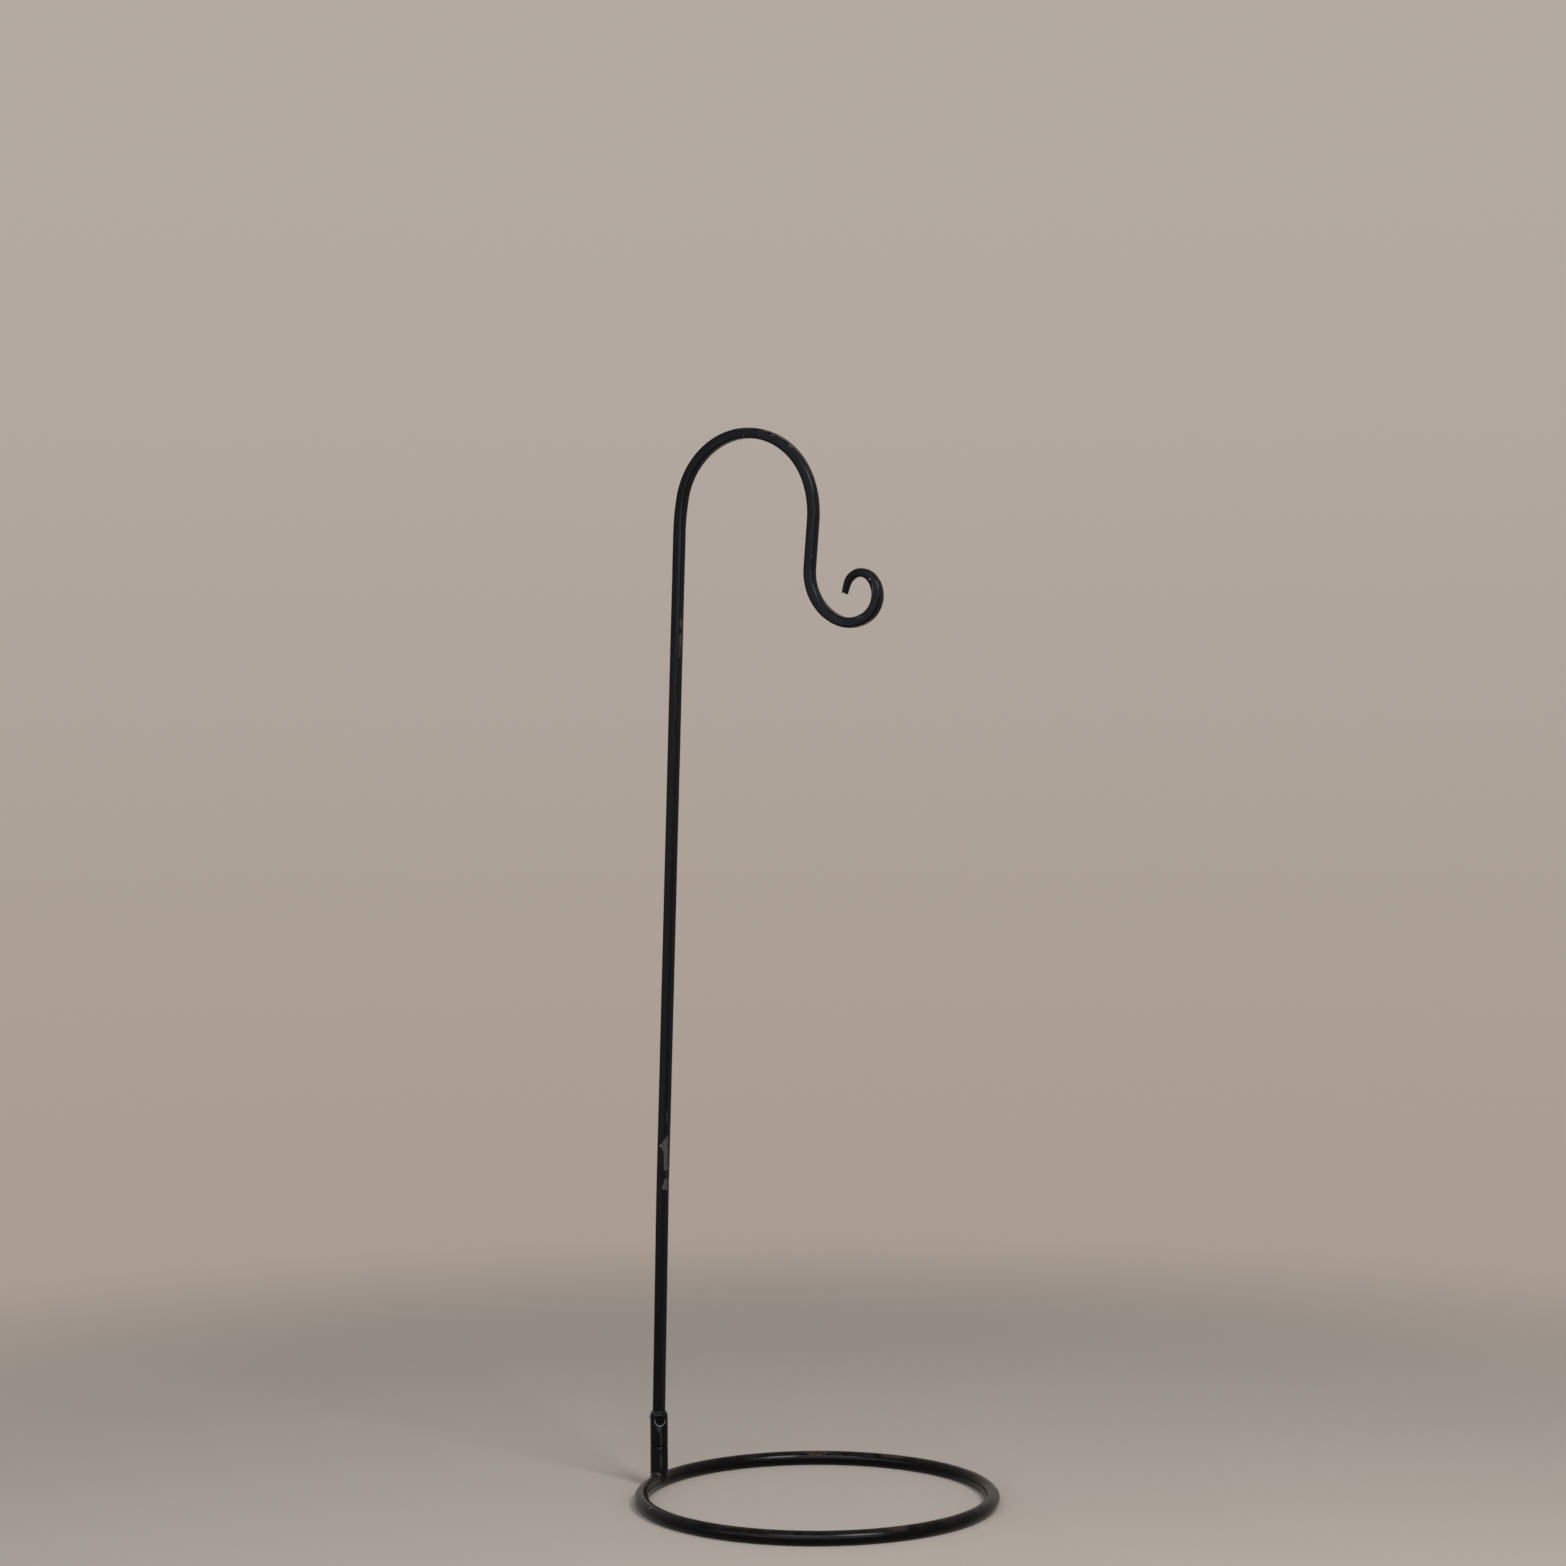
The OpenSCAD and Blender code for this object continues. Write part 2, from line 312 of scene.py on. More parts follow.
def rounding(r, z, radius, start, end):
    """Points of an arc about (r, z), with angles in degrees from +X."""
    turns = [math.radians(start + (end - start) * n / ROUNDING_STEPS) for n in range(ROUNDING_STEPS + 1)]
    return [(r + radius * math.cos(t), z + radius * math.sin(t)) for t in turns]


def beside_post(angle, out, height):
    """A place at a distance out from the post's axis."""
    return POST_X + out * math.cos(angle), out * math.sin(angle), height


def dab_angle(n, dabs, waver):
    """Where the nth of several dabs of weld lies round the post, a little off its even share."""
    return 2 * math.pi * (n + random.uniform(-waver, waver)) / dabs


def blob(place, size):
    """A small lump of weld metal."""
    bpy.ops.mesh.primitive_ico_sphere_add(subdivisions=3, radius=1, location=place, scale=size)
    return name_new("lump")


def fused(name, lumps, voxel, passes):
    """Lumps of weld run together into one bead."""
    select_only(*lumps)
    bpy.ops.object.join()
    piece = bpy.context.active_object
    piece.name = name
    piece.data.name = name
    apply_modifier(piece, "REMESH", mode="VOXEL", voxel_size=voxel)
    apply_modifier(piece, "SMOOTH", factor=0.5, iterations=passes)
    return piece


# ---- pieces ----

RING_SIDES = 40
RING_STEPS = 288


def ring_solid(name, grow=0.0, sides=RING_SIDES, steps=RING_STEPS):
    bpy.ops.mesh.primitive_circle_add(
        vertices=sides, radius=RING_BAR_R + grow, rotation=(math.pi / 2, 0, 0),
        location=(RING_R, 0, RING_BAR_R))
    piece = name_new(name)
    with bench(piece):
        bpy.ops.mesh.select_all(action="SELECT")
        bpy.ops.mesh.spin(steps=steps, angle=2 * math.pi, center=(0, 0, RING_BAR_R), axis=(0, 0, 1))
    close_up(piece)
    return piece


def ring_length(name, reach):
    """The length of the ring's bar that passes under the stub, with closed ends."""
    half = reach / RING_R
    start = math.pi + half
    bpy.ops.mesh.primitive_circle_add(
        vertices=48, radius=RING_BAR_R, fill_type="NGON", rotation=(math.pi / 2, 0, start),
        location=(RING_R * math.cos(start), RING_R * math.sin(start), RING_BAR_R))
    piece = name_new(name)
    with bench(piece):
        bpy.ops.mesh.select_all(action="SELECT")
        bpy.ops.mesh.spin(steps=32, angle=2 * half, center=(0, 0, RING_BAR_R), axis=(0, 0, 1))
    close_up(piece)
    return piece


def make_ring():
    ring = ring_solid("ring_foot")
    unevenness(ring, depth=0.07 * MM, scale=14 * MM)
    smooth(ring, angle=60)
    return ring


def make_stub():
    stub = turned("stub_and_pin", [
        (STUB_R, STUB_FOOT),
        *rounding(STUB_R - STUB_BEVEL, STUB_TOP - STUB_BEVEL, STUB_BEVEL, 0, 90),
        (PIN_R, STUB_TOP),
        (PIN_R, SCREW_Z - NECK_H / 2),
        (NECK_R, SCREW_Z - NECK_H / 2),
        (NECK_R, SCREW_Z + NECK_H / 2),
        (PIN_R, SCREW_Z + NECK_H / 2),
        (PIN_R, PIN_TOP - PIN_BEVEL),
        (PIN_R - PIN_BEVEL, PIN_TOP),
    ])
    cut_away(stub, ring_solid("saddle_cutter", grow=SEAM, sides=32, steps=180))
    smooth(stub)
    return stub


FILLET_ALONG = 13 * MM          # how far along the ring's bar the fillet may reach
FILLET_REACH = 8.2 * MM         # how far out from the post's axis
FILLET_TOP = 14 * MM
STUB_WALL_TOP = 17 * MM
FILLET_DABS = 22
SIDE_DAB = 0.45                 # radius of a dab beside the ring's bar, in mm
TOP_DAB_MORE = 0.95             # how much more radius a dab has on top of the ring's bar, in mm


def joint_height(angle):
    """Height at which the stub's wall meets the ring's bar, at an angle round the post."""
    x = POST_X + STUB_R * math.cos(angle)
    y = STUB_R * math.sin(angle)
    off = math.hypot(x, y) - RING_R
    return RING_BAR_R + math.sqrt(max(RING_BAR_R ** 2 - off ** 2, (STUB_FOOT - RING_BAR_R) ** 2))


def make_stub_weld():
    """The weld was dressed smooth, so it is the hollow that joins the stub's wall to the ring's bar."""
    run_together = [
        ring_length("bar_under_stub", FILLET_ALONG),
        turned("stub_wall", [(STUB_R, STUB_FOOT), (STUB_R, STUB_WALL_TOP)]),
    ]
    for n in range(FILLET_DABS):
        angle = dab_angle(n, FILLET_DABS, 0.3)
        on_top = abs(math.sin(angle))
        size = (SIDE_DAB + TOP_DAB_MORE * on_top ** 2) * random.uniform(0.95, 1.05) * MM
        place = beside_post(angle, STUB_R + 0.1 * MM, joint_height(angle))
        run_together.append(blob(place, (size, size, size)))
    weld = fused("stub_weld_fillet", run_together, voxel=0.22 * MM, passes=60)
    trimmer = turned("fillet_trimmer", [
        (FILLET_REACH, STUB_FOOT - 0.6 * MM),
        (FILLET_REACH, 2 * RING_BAR_R),
        (STUB_R + 0.4 * MM, FILLET_TOP),
    ])
    apply_modifier(weld, "BOOLEAN", operation="INTERSECT", solver="EXACT", object=trimmer)
    bpy.data.objects.remove(trimmer)
    smooth(weld, angle=60)
    return weld


def screw_frame(out):
    """A transform that puts +Z along the screw, at a distance out from the post's axis."""
    facing = Matrix.Rotation(SCREW_AZIMUTH, 4, "Z") @ Matrix.Rotation(math.pi / 2, 4, "Y")
    along = Vector((math.cos(SCREW_AZIMUTH), math.sin(SCREW_AZIMUTH), 0))
    return Matrix.Translation(Vector((POST_X, 0, SCREW_Z)) + out * along) @ facing


def across(name, radius, out, length, sides=64, mouth_r=None):
    """A round or six-sided tool that lies along the screw, and may widen towards its mouth."""
    bpy.ops.mesh.primitive_cone_add(vertices=sides, radius1=radius, radius2=mouth_r or radius, depth=length)
    piece = bpy.context.active_object
    piece.matrix_world = screw_frame(out + length / 2)
    return name_new(name)


def screw_hole_cutters():
    """The screw's hole and the shallow sink round its mouth."""
    past = 1.0 * MM
    slope = (SCREW_SINK_R - SCREW_HOLE_R) / SINK_DEPTH
    return (
        across("hole_cutter", SCREW_HOLE_R, 0, SLEEVE_R + past),
        across("sink_cutter", SCREW_HOLE_R, SLEEVE_R - SINK_DEPTH, SINK_DEPTH + past,
               mouth_r=SCREW_SINK_R + slope * past))


def make_sleeve():
    profile = [(BORE_R, SLEEVE_Z)]
    profile += rounding(SLEEVE_R - SLEEVE_ROUND, SLEEVE_Z + SLEEVE_ROUND, SLEEVE_ROUND, -90, 0)
    profile += [(SLEEVE_R, SLEEVE_TOP - SLEEVE_BEVEL), (SLEEVE_R - SLEEVE_BEVEL, SLEEVE_TOP),
                (BORE_R, SLEEVE_TOP), (BORE_R, SLEEVE_Z)]
    sleeve = turned("hook_socket", profile, hollow=True)
    cut_away(sleeve, *screw_hole_cutters())
    smooth(sleeve, angle=28)
    return sleeve


SHOULDER = SLEEVE_TOP - SLEEVE_BEVEL
CONE_DABS = 7

# Lumps of their own: the peak over the screw, a lower one beside it, and the drip down the left side.
# Each is (direction, distance out, height, half-sizes) in degrees and mm.
WELD_LUMPS = [
    (-66, 3.3, 43.1, (1.5, 1.5, 1.7)),
    (-108, 3.5, 42.7, (1.5, 1.5, 1.2)),
    (-160, 4.05, 40.4, (1.3, 1.3, 2.3)),
]


def bar_foot_block():
    """The foot of the square bar, for the weld to run up against."""
    width = BAR_W - 0.9 * MM
    bpy.ops.mesh.primitive_cube_add(size=1, location=(POST_X, 0, SLEEVE_TOP + 3 * MM),
                                    scale=(width, width, 8 * MM))
    block = name_new("bar_foot")
    stand_as_hook(block)
    return block


def make_sleeve_weld():
    """A lumpy cone of weld that rises from the sleeve's shoulder to the bar's faces."""
    run_together = [
        turned("cone_of_weld", [
            (SLEEVE_R - 0.25 * MM, SHOULDER - 0.7 * MM),
            (SLEEVE_R, SHOULDER - 0.1 * MM),
            (SLEEVE_R - 0.1 * MM, SHOULDER + 0.7 * MM),
            (SLEEVE_R - 0.7 * MM, SHOULDER + 1.9 * MM),
            (BAR_W * 0.62, SHOULDER + 2.9 * MM),
        ], sides=64),
        bar_foot_block(),
    ]
    for n in range(CONE_DABS):
        angle = dab_angle(n, CONE_DABS, 0.25)
        out = random.uniform(3.3, 3.6) * MM
        wide = random.uniform(1.2, 1.5) * MM
        place = beside_post(angle, out, SHOULDER + random.uniform(1.0, 1.4) * MM)
        run_together.append(blob(place, (wide, wide, 1.1 * MM)))
    for azimuth, out, height, size in WELD_LUMPS:
        place = beside_post(math.radians(azimuth), out * MM, height * MM)
        run_together.append(blob(place, [one * MM for one in size]))
    weld = fused("socket_weld_cone", run_together, voxel=0.15 * MM, passes=40)
    hollow_r = SLEEVE_R - 0.5 * MM
    hollow = turned("socket_hollow", [(hollow_r, SHOULDER - 8 * MM), (hollow_r, SHOULDER - 0.25 * MM)])
    trimmer = turned("bar_end_trimmer", [(SLEEVE_R, SHOULDER + 3.9 * MM), (SLEEVE_R, SHOULDER + 9 * MM)])
    cut_away(weld, hollow, trimmer, *screw_hole_cutters())
    smooth(weld, angle=50)
    return weld


def make_screw():
    """A point, a shoulder, one turn of thread and a crown, lengthwise along +Z before it is placed."""
    bpy.ops.mesh.primitive_circle_add(vertices=64, radius=SCREW_POINT_R - SCREW_BEVEL, fill_type="NGON")
    screw = bpy.context.active_object
    profile = [
        (SCREW_POINT_R - SCREW_BEVEL, 0),
        (SCREW_POINT_R, SCREW_BEVEL),
        (SCREW_POINT_R, SCREW_POINT_LEN),
        (SCREW_R - 0.35 * MM, SCREW_POINT_LEN),
        (SCREW_R, SCREW_POINT_LEN + 0.25 * MM),
        (SCREW_R, SCREW_POINT_LEN + 0.35 * MM),
        (SCREW_R - THREAD_DEPTH, SCREW_POINT_LEN + 0.6 * MM),
        (SCREW_R, SCREW_POINT_LEN + 0.85 * MM),
        (SCREW_R, SCREW_POINT_LEN + 0.95 * MM),
        (SCREW_R - 0.3 * MM, SCREW_LEN - 0.2 * MM),
        (SCREW_R - 0.4 * MM, SCREW_LEN),
    ]
    with bench(screw):
        bpy.ops.mesh.select_all(action="SELECT")
        draw_up(profile, 0)
    screw.matrix_world = screw_frame(SCREW_START)
    screw = name_new("grub_screw")
    close_up(screw)
    past = 1.0 * MM
    hex_corner_r = HEX_W / 2 / math.cos(math.pi / 6)
    cut_away(screw, across("hex_cutter", hex_corner_r, SCREW_START + SCREW_LEN - HEX_DEPTH,
                           HEX_DEPTH + past, sides=6))
    smooth(screw, angle=28)
    return screw


BAR_STEP = 1.5 * MM
CORNER_STEPS = 6
FLAT_CUTS = 4
HAMMERED_RUN = 70 * MM
ROUNDING_PER_HEAT = 0.016
CENTRELINE_STRIDE = 0.5 * MM
CORNER_FROM = 0.5               # where a corner's wear starts, as a share of half the side
CORNER_SPAN = 0.35


def steps_in(length, stride=BAR_STEP):
    return max(1, math.ceil(length / stride))


def spin_on(place, run, share=1.0, steps=1):
    """Carries the selected section round part of a bend that starts at a place."""
    cx, cz = centre_of(place, run)
    turn = math.radians(run[1] * share)
    bpy.ops.mesh.spin(steps=steps, angle=abs(turn), center=(cx, 0, cz), axis=(0, math.copysign(1, turn), 0))


def push_on(place, length, steps=1):
    """Carries the selected section straight on."""
    h = math.radians(place[2])
    stride = length / steps
    for _ in range(steps):
        bpy.ops.mesh.extrude_region_move(
            TRANSFORM_OT_translate={"value": (stride * math.cos(h), 0, stride * math.sin(h))})


def carry_on(place, run, share=1.0, steps=1):
    if run[0]:
        spin_on(place, run, share, steps)
    else:
        push_on(place, run[2] * share, steps)


def draw_down(place, run, along):
    """Carries the section along a run in short heats, each a little slimmer and rounder than the last."""
    steps = steps_in(run[2], BAR_STEP / 2)
    stride = run[2] / steps
    for n in range(steps):
        carry_on(after(place, run, n / steps), run, share=1 / steps)
        x, z, _ = after(place, run, (n + 1) / steps)
        slimmer = bar_width(along + stride) / bar_width(along)
        bpy.ops.transform.resize(value=(slimmer, slimmer, slimmer), center_override=(x, 0, z))
        bpy.ops.transform.tosphere(value=ROUNDING_PER_HEAT, center_override=(x, 0, z))
        along += stride


def sheared_tip(bar):
    """The tip was cropped with jaws, which left a groove across the end."""
    x, z, heading = place_after(BAR_FOOT, even_runs + taper_runs)
    h = math.radians(heading)
    groove_r = 1.0 * MM
    groove_depth = 0.75 * MM
    past = groove_r - groove_depth
    off = -0.15 * MM
    groove_x = x + past * math.cos(h) - off * math.sin(h)
    groove_z = z + past * math.sin(h) + off * math.cos(h)
    bpy.ops.mesh.primitive_cylinder_add(
        vertices=32, radius=groove_r, depth=3 * TIP_W, rotation=(math.radians(90), 0, math.radians(6)),
        location=(groove_x, 0, groove_z))
    cut_away(bar, name_new("crop_cutter"))


# Small dents along the arch's outer back corner. Each is (reach from the post, height) in mm.
BAR_NICKS = [(93.1, 584.5), (95.7, 581.6), (97.6, 578.8)]
NICK_R = 1.1 * MM
NICK_OFF = 0.35 * MM
NICK_SLANT = 0.4                # how far back a nick faces, as a share of how far it faces outwards


def nick_corner(bar):
    bend_start = place_after(BAR_FOOT, even_runs[:5])
    middle_x, middle_z = centre_of(bend_start, even_runs[5])
    for reach, height in BAR_NICKS:
        x, z = POST_X + reach * MM, height * MM
        out_x, out_z = x - middle_x, z - middle_z
        away = Vector((out_x, NICK_SLANT * math.hypot(out_x, out_z), out_z)).normalized()
        place = Vector((x, BAR_W / 2, z)) + NICK_OFF * away
        bpy.ops.mesh.primitive_ico_sphere_add(subdivisions=3, radius=NICK_R, location=place)
        cut_away(bar, name_new("nick_cutter"))


def centreline():
    """Points along the bar's middle: (distance along, place)."""
    points = []
    place, along = BAR_FOOT, 0.0
    for run in even_runs + taper_runs:
        steps = steps_in(run[2], CENTRELINE_STRIDE)
        points += [(along + run[2] * n / steps, after(place, run, n / steps)) for n in range(steps)]
        place = after(place, run)
        along += run[2]
    return points + [(along, place)]


def measure_bar(bar):
    """Keeps on each vert how near it is to a corner of the section, and how hammered the bar is there."""
    points = centreline()
    tree = KDTree(len(points))
    for n, (_, (x, z, _)) in enumerate(points):
        tree.insert((x, 0, z), n)
    tree.balance()
    corners, hammered = [], []
    for vert in bar.data.vertices:
        along, (x, z, heading) = points[tree.find((vert.co.x, 0, vert.co.z))[1]]
        h = math.radians(heading)
        sideways = abs((vert.co.x - x) * math.sin(h) - (vert.co.z - z) * math.cos(h))
        nearer = min(sideways, abs(vert.co.y)) / (bar_width(along) / 2)
        corners.append(max(0.0, min(1.0, (nearer - CORNER_FROM) / CORNER_SPAN)))
        hammered.append(max(0.0, min(1.0, (along - even_length + HAMMERED_RUN) / HAMMERED_RUN)))
    group = bar.vertex_groups.new(name="hammered")
    for n, weight in enumerate(hammered):
        group.add([n], weight, "REPLACE")
    bar.data.attributes.new("corner", "FLOAT", "POINT").data.foreach_set("value", corners)


def make_bar():
    bpy.ops.mesh.primitive_plane_add(size=BAR_W, location=(BAR_FOOT[0], 0, BAR_FOOT[1]))
    bar = name_new("hook_bar_forged")
    with bench(bar):
        bpy.ops.mesh.select_all(action="SELECT")
        bpy.ops.mesh.bevel(offset=BAR_CORNER, segments=CORNER_STEPS, affect="VERTICES")
        pick(bar, "edges", lambda edge: edge.calc_length() > BAR_W / 3)
        bpy.ops.mesh.subdivide(number_cuts=FLAT_CUTS)
        bpy.ops.mesh.select_all(action="SELECT")
        place = BAR_FOOT
        for run in even_runs:
            carry_on(place, run, steps=steps_in(run[2]))
            place = after(place, run)
        along = even_length
        for run in taper_runs:
            draw_down(place, run, along)
            place = after(place, run)
            along += run[2]
        bpy.ops.mesh.edge_face_add()
        pick(bar, "edges", lambda edge: edge.is_boundary)
        bpy.ops.mesh.edge_face_add()
    close_up(bar)
    measure_bar(bar)
    unevenness(bar, depth=0.10 * MM, scale=11 * MM)
    unevenness(bar, depth=0.22 * MM, scale=5 * MM, group="hammered")
    sheared_tip(bar)
    nick_corner(bar)
    stand_as_hook(bar)
    smooth(bar, angle=40)
    return bar


# ---- finishes ----

def put(tree, kind, inputs=None, **settings):
    """Adds a shader node. Each input is given a value, or the output that feeds it."""
    made = tree.nodes.new(kind)
    for name, value in settings.items():
        setattr(made, name, value)
    for name, value in (inputs or {}).items():
        if isinstance(value, bpy.types.NodeSocket):
            tree.links.new(value, made.inputs[name])
        else:
            made.inputs[name].default_value = value
    return made


def maths(tree, operation, *values):
    return put(tree, "ShaderNodeMath", dict(enumerate(values)), operation=operation).outputs[0]


def ramp(tree, value, low, high, start=0.0, end=1.0):
    """Runs smoothly from start to end as the value goes from low to high."""
    return put(tree, "ShaderNodeMapRange",
               {"Value": value, "From Min": low, "From Max": high, "To Min": start, "To Max": end},
               interpolation_type="SMOOTHSTEP").outputs["Result"]


def speckle(tree, place, size, detail=3.0):
    """Noise whose features have about this size in metres."""
    return put(tree, "ShaderNodeTexNoise",
               {"Vector": place, "Scale": 1 / size, "Detail": detail, "Roughness": 0.55}).outputs["Fac"]


def object_place(tree):
    return put(tree, "ShaderNodeTexCoord").outputs["Object"]


def hook_place(tree):
    """The place on the hook as (reach from the post, across the bar, height), in its own plane."""
    return put(tree, "ShaderNodeMapping",
               {"Vector": object_place(tree), "Location": (POST_X, 0, 0), "Rotation": (0, 0, HOOK_TURN)},
               vector_type="TEXTURE").outputs[0]


def vector_maths(tree, operation, first, second):
    return put(tree, "ShaderNodeVectorMath", {0: first, 1: second}, operation=operation).outputs[0]


def mix_colour(tree, share, first, second):
    return put(tree, "ShaderNodeMix", {0: share, 6: first, 7: second}, data_type="RGBA").outputs[2]


def new_group(name, inputs, outputs):
    """A shader node group with named sockets. Returns its tree and its input and output nodes."""
    tree = bpy.data.node_groups.new(name, "ShaderNodeTree")
    for socket, kind in inputs.items():
        tree.interface.new_socket(socket, in_out="INPUT", socket_type="NodeSocket" + kind)
    for socket, kind in outputs.items():
        tree.interface.new_socket(socket, in_out="OUTPUT", socket_type="NodeSocket" + kind)
    return tree, tree.nodes.new("NodeGroupInput").outputs, tree.nodes.new("NodeGroupOutput").inputs


def use_group(tree, group, inputs):
    return put(tree, "ShaderNodeGroup", inputs, node_tree=group).outputs


def brushed_film():
    """The skin of thick brushed paint: fine peel, slow runs, and patches that shine more or less."""
    tree, given, made = new_group(
        "brushed_film", {"Peel Size": "Float"}, {"Height": "Float", "Shine": "Float", "Tone": "Float"})
    place = object_place(tree)
    fineness = maths(tree, "DIVIDE", 1.0, given["Peel Size"])
    fine = put(tree, "ShaderNodeTexNoise",
               {"Vector": place, "Scale": fineness, "Detail": 2.0}).outputs["Fac"]
    runs = speckle(tree, place, 3.5 * MM)
    height = maths(tree, "ADD", maths(tree, "MULTIPLY", fine, 0.35), runs)
    tree.links.new(height, made["Height"])
    tree.links.new(ramp(tree, speckle(tree, place, 9 * MM), 0.3, 0.7), made["Shine"])
    tree.links.new(ramp(tree, speckle(tree, place, 26 * MM), 0.3, 0.7), made["Tone"])
    return tree


def ragged_spot():
    """A ragged patch round one place on the piece."""
    tree, given, made = new_group(
        "ragged_spot", {"Place": "Vector", "Centre": "Vector", "Reach": "Vector", "Ragged": "Float"},
        {"Mask": "Float"})
    offset = vector_maths(tree, "SUBTRACT", given["Place"], given["Centre"])
    shares = vector_maths(tree, "DIVIDE", offset, given["Reach"])
    far = put(tree, "ShaderNodeVectorMath", {0: shares}, operation="LENGTH").outputs["Value"]
    rough = maths(tree, "ADD", speckle(tree, given["Place"], 2.4 * MM, detail=5.0), -0.5)
    edge = maths(tree, "MULTIPLY_ADD", rough, given["Ragged"], far)
    tree.links.new(ramp(tree, edge, 0.78, 1.08, 1.0, 0.0), made["Mask"])
    return tree


SIDE_SHARE = 0.65               # how wide the bar's side face looks beside its front face


def scraped_corner():
    """A scrape that starts at a point on the front face and widens over the bar's right-hand corner.

    Right of the corner the side face is laid out flat beside the front face, so that one scrape runs
    over both. Above and below its point the scrape's left edge falls away from it at its own slopes,
    and below it goes no further than its depth. The lengths are in metres.
    """
    tree, given, made = new_group(
        "scraped_corner",
        {"Place": "Vector", "Point": "Vector", "Slope Up": "Float", "Slope Down": "Float", "Depth": "Float",
         "Right": "Float", "Top": "Float", "Bottom": "Float"},
        {"Mask": "Float"})
    parts = put(tree, "ShaderNodeSeparateXYZ", {0: given["Place"]}).outputs
    point = put(tree, "ShaderNodeSeparateXYZ", {0: given["Point"]}).outputs
    round_corner = maths(tree, "MULTIPLY", maths(tree, "ADD", parts["Y"], BAR_W / 2), SIDE_SHARE)
    flat = maths(tree, "ADD", parts["X"], round_corner)
    up = maths(tree, "SUBTRACT", parts["Z"], point["Z"])
    above = maths(tree, "MULTIPLY", up, given["Slope Up"])
    falls = maths(tree, "MULTIPLY", given["Slope Down"], -1.0)
    below = maths(tree, "MINIMUM", maths(tree, "MULTIPLY", up, falls), given["Depth"])
    left = maths(tree, "ADD", point["X"], maths(tree, "MAXIMUM", above, below))
    inside = maths(tree, "SUBTRACT", flat, left)
    for limit in (maths(tree, "SUBTRACT", given["Right"], flat),
                  maths(tree, "SUBTRACT", given["Top"], parts["Z"]),
                  maths(tree, "SUBTRACT", parts["Z"], given["Bottom"])):
        inside = maths(tree, "MINIMUM", inside, limit)
    drawn_out = vector_maths(tree, "MULTIPLY", given["Place"], (1.0, 1.0, 0.3))
    flakes = speckle(tree, drawn_out, 0.7 * MM, detail=4.0)
    ragged = maths(tree, "MULTIPLY_ADD", flakes, 1.3 * MM, -0.65 * MM)
    tree.links.new(ramp(tree, maths(tree, "ADD", inside, ragged), -0.1 * MM, 0.25 * MM), made["Mask"])
    return tree


def rubbed_edge():
    """Wear that comes and goes along an edge."""
    tree, given, made = new_group("rubbed_edge", {"Edge": "Float"}, {"Mask": "Float"})
    place = object_place(tree)
    patches = speckle(tree, place, 17 * MM, detail=2.0)
    flecks = speckle(tree, place, 0.9 * MM, detail=4.0)
    both = maths(tree, "ADD", maths(tree, "MULTIPLY", patches, 1.3), maths(tree, "MULTIPLY", flecks, 0.7))
    worn = maths(tree, "MULTIPLY", both, given["Edge"])
    tree.links.new(ramp(tree, worn, 1.35, 1.6), made["Mask"])
    return tree


def settled_dust():
    """A thin dull film on what faces up."""
    tree, given, made = new_group("settled_dust", {"Amount": "Float"}, {"Mask": "Float"})
    facing = put(tree, "ShaderNodeNewGeometry").outputs["Normal"]
    up = put(tree, "ShaderNodeSeparateXYZ", {0: facing}).outputs["Z"]
    blotches = ramp(tree, speckle(tree, object_place(tree), 6 * MM, detail=6.0), 0.35, 0.75)
    film = maths(tree, "MULTIPLY", ramp(tree, up, 0.1, 0.95), blotches)
    tree.links.new(maths(tree, "MULTIPLY", film, given["Amount"]), made["Mask"])
    return tree


# A paint is (its colour, the warmer colour of its patches). The three are one black paint, each copy set to
# how its piece is lit and what it reflects: darker on the ring and the socket as painted shade, lighter on
# the bar as painted light.
RING_PAINT_SHADED = ((0.0006, 0.0008, 0.0012, 1), (0.0017, 0.0013, 0.0013, 1))
SOCKET_PAINT_SHADED = ((0.0014, 0.0018, 0.0026, 1), (0.0022, 0.0020, 0.0023, 1))
BAR_PAINT_LIT = ((0.0022, 0.0027, 0.0039, 1), (0.0034, 0.0029, 0.0033, 1))
# Rubbed paint, warm and cool. Both are also the colours of the painted highlights and painted reflections
# laid on among the rubs.
WARM_RUB_AND_PAINTED_LIGHT = (0.052, 0.046, 0.042, 1)
COOL_RUB_AND_PAINTED_LIGHT = (0.088, 0.090, 0.105, 1)
RUST = (0.050, 0.026, 0.018, 1)
RUST_DEEP = (0.016, 0.008, 0.006, 1)
STEEL = (0.48, 0.46, 0.43, 1)
DUST = (0.10, 0.092, 0.082, 1)


